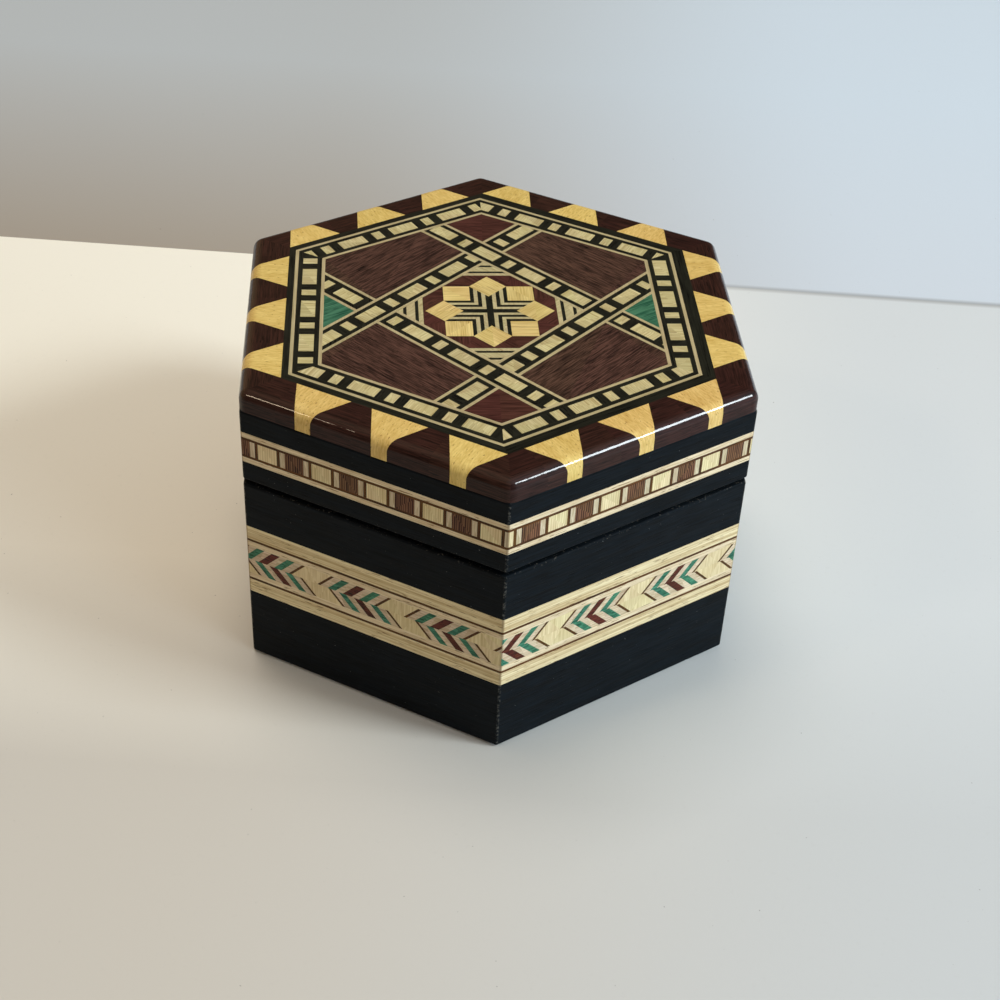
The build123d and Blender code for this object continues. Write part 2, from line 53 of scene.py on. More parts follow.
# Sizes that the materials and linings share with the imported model, in millimetres
HALF_SIDE = 25.0  # from the middle of a side to its corner
SEAM_MIDDLE = 39.625  # height between the rims of base and lid
RING_INNER = 29.30  # out to the inner edge of the ring
RING_SHIFT = (-0.5, -0.2)
STRIP = 5.45
SQUARE_HALF = 11.41
LATTICE_DEGREES = -14.5
LATTICE_TURN = math.radians(LATTICE_DEGREES)
LATTICE_SHIFT = (-0.3, -0.6)
TOOTH_START = -17.95  # along a side, from its middle
TOOTH_PITCH = 14.25

# Looks that several materials share
LACQUER = 0.85
UNDER_LACQUER = 0.05  # how much the wood itself mirrors where a coat lies over it
JUMP = (173.0, 91.0)  # between the grain of one piece and that of another
HUE_SEED = 517.0  # so that a piece's hue doesn't follow its tone

# Camera: the place that the corners in the photograph give
CAMERA_PLACE = (0.114448, -0.240019, 0.226916)
CAMERA_AZIMUTH = math.radians(24.88)
CAMERA_ELEVATION = math.radians(38.48)
CAMERA_ROLL = math.radians(3.0)
CAMERA_LENS = 64.01
SENSOR = 36.0


def add_camera():
    """The camera at the photograph's place and angle."""
    data = bpy.data.cameras.new("camera")
    data.sensor_width = SENSOR
    data.lens = CAMERA_LENS
    data.clip_start = 0.01
    data.clip_end = 50
    camera = bpy.data.objects.new("camera", data)
    turn = Matrix.Rotation(CAMERA_AZIMUTH, 4, "Z")
    tilt = Matrix.Rotation(math.pi / 2 - CAMERA_ELEVATION, 4, "X")
    roll = Matrix.Rotation(CAMERA_ROLL, 4, "Z")
    camera.matrix_world = Matrix.Translation(CAMERA_PLACE) @ turn @ tilt @ roll
    bpy.context.scene.collection.objects.link(camera)
    bpy.context.scene.camera = camera


add_camera()


# Colours and shader nodes

def linear(value):
    """One channel of a screen colour, from 0 to 255, as the linear value that shaders take."""
    share = value / 255
    return share / 12.92 if share <= 0.04045 else ((share + 0.055) / 1.055) ** 2.4


def colour(red, green, blue):
    """A colour as it looks on a screen, ready for a shader."""
    return (linear(red), linear(green), linear(blue), 1.0)


class Nodes:
    """A node tree, and short ways to add nodes to it."""

    def __init__(self, tree):
        self.tree = tree

    def node(self, kind, **settings):
        """A new node with its settings."""
        made = self.tree.nodes.new("ShaderNode" + kind)
        for name, value in settings.items():
            setattr(made, name, value)
        return made

    def feed(self, socket, value):
        """Links a socket to another node's output, or sets its own value."""
        if isinstance(value, bpy.types.NodeSocket):
            self.tree.links.new(value, socket)
        else:
            socket.default_value = value

    def maths(self, operation, *values, clamp=False):
        """A Math node's result."""
        made = self.node("Math", operation=operation, use_clamp=clamp)
        for socket, value in zip(made.inputs, values):
            self.feed(socket, value)
        return made.outputs[0]

    def vector(self, operation, first, second=None, scale=None):
        """A Vector Math node's result."""
        made = self.node("VectorMath", operation=operation)
        self.feed(made.inputs[0], first)
        if second is not None:
            self.feed(made.inputs[1], second)
        if scale is not None:
            self.feed(made.inputs["Scale"], scale)
        return made.outputs[0]

    def parts(self, vector):
        """The three parts of a vector."""
        made = self.node("SeparateXYZ")
        self.feed(made.inputs[0], vector)
        return made.outputs[0], made.outputs[1], made.outputs[2]

    def joined(self, x, y, z):
        """A vector from its three parts."""
        made = self.node("CombineXYZ")
        for socket, value in zip(made.inputs, (x, y, z)):
            self.feed(socket, value)
        return made.outputs[0]

    def rotated(self, vector, angle):
        """A vector turned about the upright axis."""
        made = self.node("VectorRotate", rotation_type="Z_AXIS")
        self.feed(made.inputs["Vector"], vector)
        self.feed(made.inputs["Angle"], angle)
        return made.outputs[0]

    def steps(self, value, low, high, to_low=0.0, to_high=1.0, smooth=False):
        """A value taken from one range to another, and held at its ends."""
        made = self.node("MapRange", interpolation_type="SMOOTHSTEP" if smooth else "LINEAR")
        for socket, number in zip(made.inputs, (value, low, high, to_low, to_high)):
            self.feed(socket, number)
        return made.outputs[0]

    def mix(self, share, first, second):
        """Two colours mixed."""
        made = self.node("Mix", data_type="RGBA")
        self.feed(made.inputs[0], share)
        self.feed(made.inputs[6], first)
        self.feed(made.inputs[7], second)
        return made.outputs[2]

    def noise(self, place, length, width, detail=3.0, roughness=0.55, distortion=0.0):
        """Noise whose patches are so long and wide, in millimetres."""
        stretched = self.vector("MULTIPLY", place, (1 / length, 1 / width, 1 / width))
        made = self.node("TexNoise")
        self.feed(made.inputs["Vector"], stretched)
        made.inputs["Scale"].default_value = 1.0
        made.inputs["Detail"].default_value = detail
        made.inputs["Roughness"].default_value = roughness
        made.inputs["Distortion"].default_value = distortion
        return made.outputs["Fac"]

    def hashed(self, value):
        """A number from 0 to 1 for each whole number."""
        made = self.node("TexWhiteNoise", noise_dimensions="1D")
        self.feed(made.inputs["W"], value)
        return made.outputs["Value"]


class Shader(Nodes):
    """One material. Places and sizes are in millimetres."""

    def __init__(self, name):
        self.material = bpy.data.materials.new(name)
        self.material.use_nodes = True
        super().__init__(self.material.node_tree)
        self.surface = self.tree.nodes["Principled BSDF"]
        where = self.node("TexCoord").outputs["Object"]
        self.place = self.vector("SCALE", where, scale=1 / MM)

    def bump(self, height, depth):
        """A normal bent by a height from 0 to 1, which stands for so many millimetres."""
        made = self.node("Bump")
        made.inputs["Strength"].default_value = 1.0
        made.inputs["Distance"].default_value = depth * MM
        self.feed(made.inputs["Height"], height)
        return made.outputs[0]

    def random(self):
        """A number from 0 to 1 for each flat piece of a node."""
        return self.node("NewGeometry").outputs["Random Per Island"]

    def sector(self, middle=(0.0, 0.0)):
        """Which of the six sides a place belongs to, as a whole number from -2 to 3."""
        x, y, _ = self.parts(self.vector("SUBTRACT", self.place, (*middle, 0.0)))
        angle = self.maths("ARCTAN2", y, x)
        return self.maths("ROUND", self.maths("DIVIDE", self.maths("ADD", angle, math.pi / 2), SIXTH))

    def by_side(self, middle=(0.0, 0.0)):
        """A place as (out from the middle, along the side, height)."""
        place = self.vector("SUBTRACT", self.place, (*middle, 0.0))
        angle = self.maths("MULTIPLY_ADD", self.sector(middle), -SIXTH, math.pi / 2)
        return self.rotated(place, angle)

    def on_lattice(self):
        """A place in the directions of the lattice on the top."""
        turned = self.rotated(self.place, -LATTICE_TURN)
        return self.vector("SUBTRACT", turned, (*LATTICE_SHIFT, 0.0))


# Where the grain runs. Each gives a place whose first part is along the grain.

def grain_round(m):
    """Level, round the box."""
    out, along, height = m.parts(m.by_side())
    return m.joined(along, height, out)


def grain_upright(m):
    """Upright on the sides of the box."""
    out, along, height = m.parts(m.by_side())
    return m.joined(height, along, out)


def grain_outwards(m):
    """From the middle out to each side, and down over the rounded edge."""
    out, along, height = m.parts(m.by_side())
    return m.joined(m.maths("SUBTRACT", out, height), along, 0.0)


def grain_along_border(m):
    """Along each side of the top."""
    out, along, height = m.parts(m.by_side())
    return m.joined(along, m.maths("SUBTRACT", out, height), 0.0)


def grain_along_ring(m):
    """Along each side of the ring."""
    out, along, _ = m.parts(m.by_side(RING_SHIFT))
    return m.joined(along, out, 0.0)


def grain_at(degrees):
    """One direction on the top."""
    def place(m):
        return m.rotated(m.place, -math.radians(degrees))
    return place


def grain_across_strips(m):
    """Across the strips of the ring and of the lattice."""
    out, along, _ = m.parts(m.by_side(RING_SHIFT))
    u, v, _ = m.parts(m.on_lattice())
    distance = m.maths("SUBTRACT", m.maths("ABSOLUTE", u), SQUARE_HALF + STRIP / 2)
    upright = m.maths("LESS_THAN", m.maths("ABSOLUTE", distance), STRIP / 2)
    level = m.maths("SUBTRACT", 1.0, upright)
    ring = m.maths("GREATER_THAN", out, RING_INNER)
    inside = m.maths("SUBTRACT", 1.0, ring)

    def chosen(in_ring, first, second):
        lattice = m.maths("MULTIPLY_ADD", upright, first, m.maths("MULTIPLY", level, second))
        return m.maths("MULTIPLY_ADD", ring, in_ring, m.maths("MULTIPLY", inside, lattice))

    return m.joined(chosen(out, u, v), chosen(along, v, u), 0.0)


def grain_of_star(m):
    """Along a side of each square of the star."""
    u, v, _ = m.parts(m.on_lattice())
    step = m.maths("ROUND", m.maths("DIVIDE", m.maths("ARCTAN2", v, u), EIGHTH))
    return m.rotated(m.on_lattice(), m.maths("MULTIPLY_ADD", step, -EIGHTH, -EIGHTH))


# What makes pieces differ from each other

def each_piece(m):
    """Each flat piece has its own tone."""
    return m.random()


def each_side(m):
    """Each side of the box has its own tone. Adding 11 keeps the sides' numbers above 0."""
    return m.hashed(m.maths("ADD", m.sector(), 11.0))


def each_tooth(m):
    """Each tooth, and each gap between teeth, has its own tone. A side takes 7 numbers."""
    _, along, _ = m.parts(m.by_side())
    count = m.maths("FLOOR", m.maths("DIVIDE", m.maths("SUBTRACT", along, TOOTH_START), TOOTH_PITCH))
    return m.hashed(m.maths("MULTIPLY_ADD", m.sector(), 7.0, m.maths("ADD", count, 40.0)))


def own_tone(m, base, seed, spread, hue_spread):
    """The colour of a piece, which differs a little from the next piece's in tone and hue."""
    tone = m.node("HueSaturation")
    other = m.hashed(m.maths("MULTIPLY", seed, HUE_SEED))
    m.feed(tone.inputs["Hue"], m.steps(other, 0.0, 1.0, 0.5 - hue_spread, 0.5 + hue_spread))
    m.feed(tone.inputs["Value"], m.steps(seed, 0.0, 1.0, 1 - spread, 1 + spread))
    m.feed(tone.inputs["Color"], base)
    return tone.outputs[0]


def wood(
    name,
    dark,
    light,
    grain,
    each=each_piece,
    streak=(9.0, 0.4),
    fine=(5.0, 0.24),
    rows=0.0,
    contrast=1.0,
    fibre=0.5,
    mottle=0.25,
    pores=0.0,
    pore_colour=(30, 18, 12),
    pore_size=(2.0, 0.2),
    spread=0.06,
    hue_spread=0.006,
    roughness=(0.38, 0.52),
    specular=0.15,
    lacquer=0.0,
    relief=0.012,
    marks=None,
):
    """Wood with long streaks, fine fibres, soft patches and pores, whose pieces differ a little.

    Streaks, fibres and pores are so long and wide. Rows is how far apart regular fine lines are.
    """
    m = Shader(name)
    seed = each(m)
    jump = m.joined(m.maths("MULTIPLY", seed, JUMP[0]), m.maths("MULTIPLY", seed, JUMP[1]), 0.0)
    place = m.vector("ADD", grain(m), jump)
    broad = m.steps(m.noise(place, *streak, detail=3.0, roughness=0.6), 0.33, 0.67, -1.0, 1.0)
    fibres = m.noise(place, *fine, detail=2.0, roughness=0.6)
    thin = m.steps(fibres, 0.36, 0.64, -1.0, 1.0)
    if rows:
        _, across, _ = m.parts(place)
        turn = m.maths("MULTIPLY_ADD", across, 2 * math.pi / rows, m.maths("MULTIPLY", thin, 1.2))
        thin = m.maths("MULTIPLY_ADD", m.maths("SINE", turn), 0.7, m.maths("MULTIPLY", thin, 0.3))
    patch = m.steps(m.noise(place, 6.0, 3.0, detail=2.0), 0.3, 0.7, -1.0, 1.0)
    figure = m.maths("MULTIPLY_ADD", broad, contrast * 0.5, 0.5)
    figure = m.maths("MULTIPLY_ADD", thin, fibre * 0.5, figure)
    figure = m.maths("MULTIPLY_ADD", patch, mottle * 0.5, figure, clamp=True)
    base = m.mix(figure, colour(*dark), colour(*light))
    height = fibres
    if pores:
        hole = m.noise(place, *pore_size, detail=1.0, roughness=0.4)
        hole = m.steps(hole, 0.70 - 0.2 * pores, 0.78 - 0.2 * pores)
        base = m.mix(m.maths("MULTIPLY", hole, 0.8), base, colour(*pore_colour))
        height = m.maths("SUBTRACT", fibres, m.maths("MULTIPLY", hole, 0.8))
    base = own_tone(m, base, seed, spread, hue_spread)
    if marks:
        base = marks(m, base)
    m.feed(m.surface.inputs["Base Color"], base)
    m.feed(m.surface.inputs["Roughness"], m.steps(broad, -0.6, 0.6, *roughness))
    m.surface.inputs["Specular IOR Level"].default_value = UNDER_LACQUER if lacquer else specular
    m.feed(m.surface.inputs["Normal"], m.bump(height, relief))
    if lacquer:
        add_lacquer(m, lacquer)
    return m.material


def add_lacquer(m, weight):
    """A glossy coat, thin on upright faces, that follows the pieces under it only faintly."""
    _, _, up = m.parts(m.node("TexCoord").outputs["Normal"])
    m.feed(m.surface.inputs["Coat Weight"], m.steps(up, 0.05, 0.45, 0.35 * weight, weight))
    m.surface.inputs["Coat Roughness"].default_value = 0.03
    m.surface.inputs["Coat IOR"].default_value = 1.43
    waves = m.noise(m.place, 3.0, 3.0, detail=2.0, roughness=0.5)
    grain = m.noise(m.place, 0.6, 0.6, detail=2.0, roughness=0.5)
    height = m.maths("MULTIPLY_ADD", grain, 0.08, waves)
    m.feed(m.surface.inputs["Coat Normal"], m.bump(height, 0.05))


# Wear and marks

def worn_corners(m, base):
    """Pale rubbed lines down the upright corners, and specks along the rims."""
    _, along, height = m.parts(m.by_side())
    corner = m.steps(m.maths("ABSOLUTE", along), HALF_SIDE - 0.34, HALF_SIDE - 0.22)
    rub = m.steps(m.noise(m.place, 0.5, 0.5, detail=4.0, roughness=0.7), 0.48, 0.66)
    base = m.mix(m.maths("MULTIPLY", m.maths("MULTIPLY", corner, rub), 0.5), base, colour(126, 122, 112))
    from_seam = m.maths("ABSOLUTE", m.maths("SUBTRACT", height, SEAM_MIDDLE))
    rim = m.steps(from_seam, 0.95, 0.6)
    chips = m.steps(m.noise(m.place, 0.5, 0.5, detail=3.0, roughness=0.7), 0.60, 0.68)
    return m.mix(m.maths("MULTIPLY", m.maths("MULTIPLY", rim, chips), 0.5), base, colour(120, 112, 100))


def dusty_sides(m, base):
    """The wear of the black sides: corners and rims, and a few pale specks."""
    base = worn_corners(m, base)
    specks = m.steps(m.noise(m.place, 0.30, 0.30, detail=1.0, roughness=0.5), 0.79, 0.82)
    return m.mix(m.maths("MULTIPLY", specks, 0.55), base, colour(150, 150, 145))


def black_rims(m, base):
    """The boards near black at their rims, where lid and base meet."""
    _, _, height = m.parts(m.place)
    from_seam = m.maths("ABSOLUTE", m.maths("SUBTRACT", height, SEAM_MIDDLE))
    return m.mix(m.steps(from_seam, 0.6, 0.5), base, colour(16, 17, 18))


def dirty_corners(m, base):
    """A thin brown glue line where two sides' bands are mitred."""
    _, along, _ = m.parts(m.by_side())
    corner = m.steps(m.maths("ABSOLUTE", along), HALF_SIDE - 0.32, HALF_SIDE - 0.14)
    return m.mix(m.maths("MULTIPLY", corner, 0.6), base, colour(120, 92, 58))


def brass():
    """Drawn brass, slightly dull, with fine lines along the hinge."""
    m = Shader("brass_dull")
    lines = m.noise(m.place, 6.0, 0.05, detail=3.0)
    blotches = m.noise(m.place, 2.2, 2.2, detail=4.0, roughness=0.7)
    base = m.mix(m.steps(blotches, 0.35, 0.7), colour(196, 160, 88), colour(150, 112, 58))
    m.feed(m.surface.inputs["Base Color"], base)
    m.surface.inputs["Metallic"].default_value = 1.0
    m.feed(m.surface.inputs["Roughness"], m.steps(blotches, 0.3, 0.7, 0.28, 0.5))
    m.feed(m.surface.inputs["Normal"], m.bump(lines, 0.006))
    return m.material


def velvet():
    """Burgundy velvet, with a nap that is brushed one way and the other."""
    m = Shader("velvet_burgundy")
    brushed = m.noise(m.place, 14.0, 9.0, detail=3.0, roughness=0.55)
    pile = m.noise(m.place, 0.16, 0.16, detail=2.0, roughness=0.6)
    base = m.mix(m.steps(brushed, 0.35, 0.65), colour(84, 8, 22), colour(118, 16, 34))
    base = m.mix(m.maths("MULTIPLY", m.steps(pile, 0.35, 0.7), 0.45), base, colour(52, 4, 12))
    m.feed(m.surface.inputs["Base Color"], base)
    m.surface.inputs["Roughness"].default_value = 0.95
    m.surface.inputs["Sheen Weight"].default_value = 0.8
    m.surface.inputs["Sheen Roughness"].default_value = 0.35
    m.surface.inputs["Sheen Tint"].default_value = colour(225, 120, 135)
    m.surface.inputs["Specular IOR Level"].default_value = 0.15
    m.feed(m.surface.inputs["Normal"], m.bump(pile, 0.09))
    return m.material


def felt():
    """Black felt with matted fibres."""
    m = Shader("felt_black")
    mat = m.noise(m.place, 0.9, 0.35, detail=5.0, roughness=0.7, distortion=1.5)
    base = m.mix(m.steps(mat, 0.35, 0.68), colour(24, 24, 26), colour(58, 57, 58))
    m.feed(m.surface.inputs["Base Color"], base)
    m.surface.inputs["Roughness"].default_value = 1.0
    m.surface.inputs["Sheen Weight"].default_value = 0.3
    m.surface.inputs["Sheen Roughness"].default_value = 0.5
    m.surface.inputs["Specular IOR Level"].default_value = 0.1
    m.feed(m.surface.inputs["Normal"], m.bump(mat, 0.12))
    return m.material


# Materials of the nodes

SIDES = ("front", "front_right", "back_right", "back", "back_left", "front_left")


def top_maple(name, grain, each=each_piece, **changes):
    """Lacquered maple of the top."""
    settings = dict(
        dark=(196, 158, 88),
        light=(240, 208, 138),
        streak=(7.0, 0.4),
        contrast=0.5,
        fibre=0.4,
        pores=0.25,
        pore_colour=(140, 96, 48),
        spread=0.07,
        lacquer=LACQUER,
    )
    settings.update(changes)
    return wood(name, grain=grain, each=each, **settings)


def top_mahogany(name, grain, each=each_piece, **changes):
    """Lacquered dark wood of the top."""
    settings = dict(
        dark=(28, 15, 12),
        light=(64, 37, 30),
        streak=(12.0, 0.6),
        contrast=0.5,
        fibre=0.7,
        pores=0.3,
        pore_colour=(12, 5, 4),
        pore_size=(3.0, 0.22),
        spread=0.1,
        lacquer=LACQUER,
    )
    settings.update(changes)
    return wood(name, grain=grain, each=each, **settings)


def black_line(name, grain):
    """Black-stained stringing under lacquer."""
    return wood(
        name,
        dark=(14, 14, 10),
        light=(40, 40, 31),
        grain=grain,
        contrast=0.8,
        spread=0.12,
        lacquer=LACQUER,
    )


def side_maple(name, grain, **changes):
    """Satin maple of the bands on the sides."""
    settings = dict(
        dark=(196, 168, 117),
        light=(242, 224, 175),
        streak=(16.0, 0.5),
        contrast=0.4,
        fibre=0.8,
        pores=0.3,
        pore_colour=(126, 92, 50),
        roughness=(0.34, 0.46),
        spread=0.05,
        marks=dirty_corners,
    )
    settings.update(changes)
    return wood(name, grain=grain, **settings)


def side_brown(name, grain, **changes):
    """Satin dark brown of the bands on the sides."""
    settings = dict(
        dark=(50, 28, 8),
        light=(108, 68, 26),
        contrast=0.6,
        roughness=(0.36, 0.5),
        spread=0.1,
    )
    settings.update(changes)
    return wood(name, grain=grain, **settings)


def dress(material, *names):
    """Gives CAD nodes a material in place of the plain one."""
    for name in names:
        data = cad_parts[name].data
        data.materials.clear()
        data.materials.append(material)


def dress_walls():
    """The boards, and the black veneer of the sides."""
    black = wood(
        "veneer_black",
        dark=(5, 8, 10),
        light=(20, 26, 31),
        grain=grain_round,
        each=each_side,
        streak=(18.0, 1.2),
        fine=(6.0, 0.3),
        contrast=0.5,
        fibre=0.5,
        pores=0.3,
        pore_colour=(3, 4, 5),
        pore_size=(3.0, 0.25),
        spread=0.06,
        roughness=(0.50, 0.62),
        specular=0.08,
        relief=0.02,
        marks=dusty_sides,
    )
    dress(black, "base_veneer_lower", "base_veneer_upper", "lid_veneer_lower", "lid_veneer_upper")
    stained = dict(dark=(70, 26, 14), light=(122, 56, 32), pores=0.5, roughness=(0.45, 0.6), relief=0.02)
    stained_round = dict(grain=grain_round, each=each_side, streak=(18.0, 0.8), **stained)
    boards = wood("boards_stained", marks=black_rims, **stained_round)
    dress(boards, *(f"base_wall_{side}" for side in SIDES), *(f"lid_wall_{side}" for side in SIDES))
    flat = wood("boards_flat", grain=grain_at(0), streak=(22.0, 1.0), **stained)
    dress(flat, "base_floor_board", "lid_board")


def dress_base_band():
    """The band of the base, and the pale lines of both bands."""
    edge = side_maple("band_edge_maple", grain_round, each=each_side, fine=(40.0, 0.4), fibre=0.9)
    dress(edge, "base_band_edge_strips")
    line = side_maple(
        "band_line_maple",
        grain_round,
        each=each_side,
        dark=(208, 182, 138),
        light=(242, 222, 182),
    )
    dress(line, "base_band_pale_lines", "lid_band_pale_lines")
    upright = side_maple("chevron_maple", grain_upright, contrast=0.3, fibre=0.4, pores=0.0, spread=0.03)
    dress(upright, "base_chevrons_maple")
    pale = side_maple(
        "chevron_pale",
        grain_round,
        dark=(186, 160, 124),
        light=(226, 204, 172),
        contrast=0.4,
        pores=0.0,
        spread=0.08,
    )
    dress(pale, "base_chevrons_pale")
    green = wood(
        "chevron_green",
        dark=(18, 76, 56),
        light=(82, 144, 112),
        grain=grain_round,
        streak=(5.0, 0.3),
        contrast=0.7,
        pores=0.35,
        pore_colour=(14, 56, 46),
        spread=0.22,
        hue_spread=0.012,
    )
    dress(green, "base_chevrons_green")
    red = wood(
        "chevron_red",
        dark=(58, 18, 12),
        light=(112, 54, 38),
        grain=grain_round,
        streak=(6.0, 0.28),
        contrast=0.8,
        pores=0.5,
        spread=0.14,
    )
    dress(red, "base_chevrons_red")


def dress_lid_band():
    """The dark lines of both bands, and the blocks of the lid's band."""
    lines = side_brown("band_brown_lines", grain_round, each=each_side)
    dress(lines, "base_band_dark_lines", "lid_band_dark_lines")
    dress(side_brown("chevron_dark", grain_round), "base_chevrons_dark")
    dress(side_brown("band_dividers", grain_upright), "lid_band_dark_dividers")
    blocks = side_maple("band_blocks_maple", grain_upright, fine=(40.0, 0.3), rows=0.45, fibre=0.6, pores=0.0)
    dress(blocks, "lid_band_maple_blocks")
    brown = side_brown(
        "band_blocks_brown",
        grain_upright,
        dark=(50, 26, 14),
        light=(130, 90, 62),
        fine=(40.0, 0.34),
        rows=0.42,
        contrast=0.3,
        fibre=1.5,
    )
    dress(brown, "lid_band_brown_blocks")
    white = side_maple(
        "band_bars_white",
        grain_upright,
        dark=(182, 158, 120),
        light=(220, 202, 168),
        contrast=0.5,
        pores=0.0,
    )
    dress(white, "lid_band_white_bars")


def dress_hinge():
    """Brass on all of the hinge."""
    hinge = brass()
    dress(hinge, "hinge_leaf_base", "hinge_leaf_lid", "hinge_pin", "hinge_brads_base", "hinge_brads_lid")


def dress_border():
    """The mahogany border, its teeth and the black line round the ring."""
    teeth = top_maple(
        "teeth_maple",
        grain_outwards,
        each=each_tooth,
        dark=(200, 160, 82),
        light=(238, 206, 128),
        streak=(12.0, 1.4),
        fine=(1.6, 0.3),
        contrast=0.25,
        fibre=0.5,
        mottle=0.3,
        pores=0.2,
        pore_size=(0.8, 0.3),
        spread=0.03,
    )
    dress(teeth, "lid_border_teeth")
    dress(top_mahogany("border_mahogany", grain_along_border, each=each_tooth), "lid_border_mahogany")
    dress(black_line("border_black", grain_along_ring), "top_black_border")


def dress_strips():
    """The strips of the ring and of the lattice."""
    pale = top_maple(
        "line_pale",
        grain_along_ring,
        dark=(160, 142, 100),
        light=(200, 184, 142),
        contrast=0.4,
        pores=0.0,
    )
    dress(pale, "top_pale_line")
    dress(black_line("line_black", grain_along_ring), "top_black_line")
    dress(black_line("block_black", grain_across_strips), "top_black_block")
    blocks = top_maple(
        "block_maple",
        grain_across_strips,
        dark=(170, 150, 98),
        light=(216, 203, 153),
        streak=(12.0, 0.8),
        fine=(8.0, 0.2),
        contrast=0.35,
        fibre=0.7,
        pores=0.15,
        pore_colour=(112, 86, 42),
        pore_size=(6.0, 0.16),
        spread=0.09,
    )
    dress(blocks, "top_maple_block")


def dress_fields():
    """The panels between the strips, the ground of the star and the green triangles."""
    panels = dict(
        dark=(34, 22, 18),
        light=(94, 66, 54),
        streak=(9.0, 0.35),
        fine=(3.2, 0.13),
        contrast=0.65,
        fibre=1.3,
        pores=0.25,
        pore_size=(1.6, 0.2),
    )
    dress(top_mahogany("panel_along", grain_at(LATTICE_DEGREES), **panels), "top_panels_along")
    dress(top_mahogany("panel_across", grain_at(LATTICE_DEGREES + 90), **panels), "top_panels_across")
    red = dict(dark=(52, 26, 22), light=(92, 55, 46), pores=0.3, contrast=0.5, fibre=0.6)
    dress(top_mahogany("panel_red", grain_at(LATTICE_DEGREES + 45), **red), "top_panels_red")
    dress(top_mahogany("star_ground", grain_of_star, **red), "top_star_ground")
    green = wood(
        "triangle_green",
        dark=(26, 74, 54),
        light=(80, 129, 99),
        grain=grain_at(62),
        streak=(8.0, 0.6),
        contrast=0.8,
        pores=0.3,
        pore_colour=(8, 50, 44),
        lacquer=LACQUER,
    )
    dress(green, "top_triangles_green")


def dress_star():
    """The star, and the stripes in the corners round it."""
    squares = top_maple(
        "star_squares",
        grain_of_star,
        dark=(188, 156, 86),
        light=(240, 216, 146),
        streak=(12.0, 0.8),
        fine=(8.0, 0.2),
        contrast=0.25,
        fibre=0.5,
        pores=0.15,
        pore_colour=(130, 90, 44),
        pore_size=(6.0, 0.16),
    )
    dress(squares, "top_star_squares")
    dark = black_line("star_black", grain_of_star)
    dress(dark, "top_star_cross_bars", "top_star_dark_chevrons", "top_stripes_dark")
    light = top_maple(
        "star_pale",
        grain_of_star,
        dark=(164, 148, 104),
        light=(210, 196, 150),
        contrast=0.5,
        pores=0.1,
    )
    dress(light, "top_star_pale_chevrons", "top_stripes_pale")


dress_walls()
dress_base_band()
dress_lid_band()
dress_hinge()
dress_border()
dress_strips()
dress_fields()
dress_star()


# Linings: closed meshes made of rings of points round the six-sided plan

PER_SIDE = 24  # points along one side
WALL_LINING = 1.0  # its thickness
CORNER_POWER = 14  # how late along a side its rounded corner begins


def hexagon_ring(reach, height, round_corner=0.0, bow=0.0):
    """Points round a six-sided outline. Its sides may bow in or out between the corners."""
    points = []
    for side in range(6):
        angle = math.radians(-90 + 60 * side)
        for i in range(PER_SIDE):
            share = (i + 0.5) / PER_SIDE * 2 - 1
            along = share * reach * TAN_30
            out = reach + bow * (1 - share * share) - round_corner * abs(share) ** CORNER_POWER
            x = math.cos(angle) * out - math.sin(angle) * along
            y = math.sin(angle) * out + math.cos(angle) * along
            points.append(Vector((x, y, height)) * MM)
    return points


def add_bands(bm, lowers, uppers):
    """Faces between each ring of corners and its partner."""
    for lower, upper in zip(lowers, uppers):
        for i in range(len(lower)):
            j = (i + 1) % len(lower)
            bm.faces.new((lower[i], lower[j], upper[j], upper[i]))


def closed_piece(name, rings, cap_low, cap_high, material):
    """A closed mesh from rings of points, with both ends closed over a middle point."""
    bm = bmesh.new()
    made = [[bm.verts.new(point) for point in ring] for ring in rings]
    add_bands(bm, made, made[1:])
    for ring, centre, flipped in ((made[0], cap_low, True), (made[-1], cap_high, False)):
        middle = bm.verts.new(Vector((0, 0, centre)) * MM)
        for i in range(len(ring)):
            j = (i + 1) % len(ring)
            bm.faces.new((ring[j], ring[i], middle) if flipped else (ring[i], ring[j], middle))
    return finished(name, bm, material)


def looped_piece(name, rings, material):
    """A closed mesh from rings of points, whose last ring joins the first."""
    bm = bmesh.new()
    made = [[bm.verts.new(point) for point in ring] for ring in rings]
    add_bands(bm, made, made[1:] + made[:1])
    return finished(name, bm, material)


def finished(name, bm, material):
    """The object made from a mesh, smooth and with its material."""
    bmesh.ops.recalc_face_normals(bm, faces=bm.faces)
    mesh = bpy.data.meshes.new(name)
    bm.to_mesh(mesh)
    bm.free()
    mesh.polygons.foreach_set("use_smooth", [True] * len(mesh.polygons))
    mesh.materials.append(material)
    piece = bpy.data.objects.new(name, mesh)
    bpy.context.scene.collection.objects.link(piece)
    return piece


def size_of(node):
    """The half width across the flats, the floor and the top of a node, in millimetres."""
    low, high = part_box(node)
    return (high[1] - low[1]) / 2 / MM, low[2] / MM, high[2] / MM


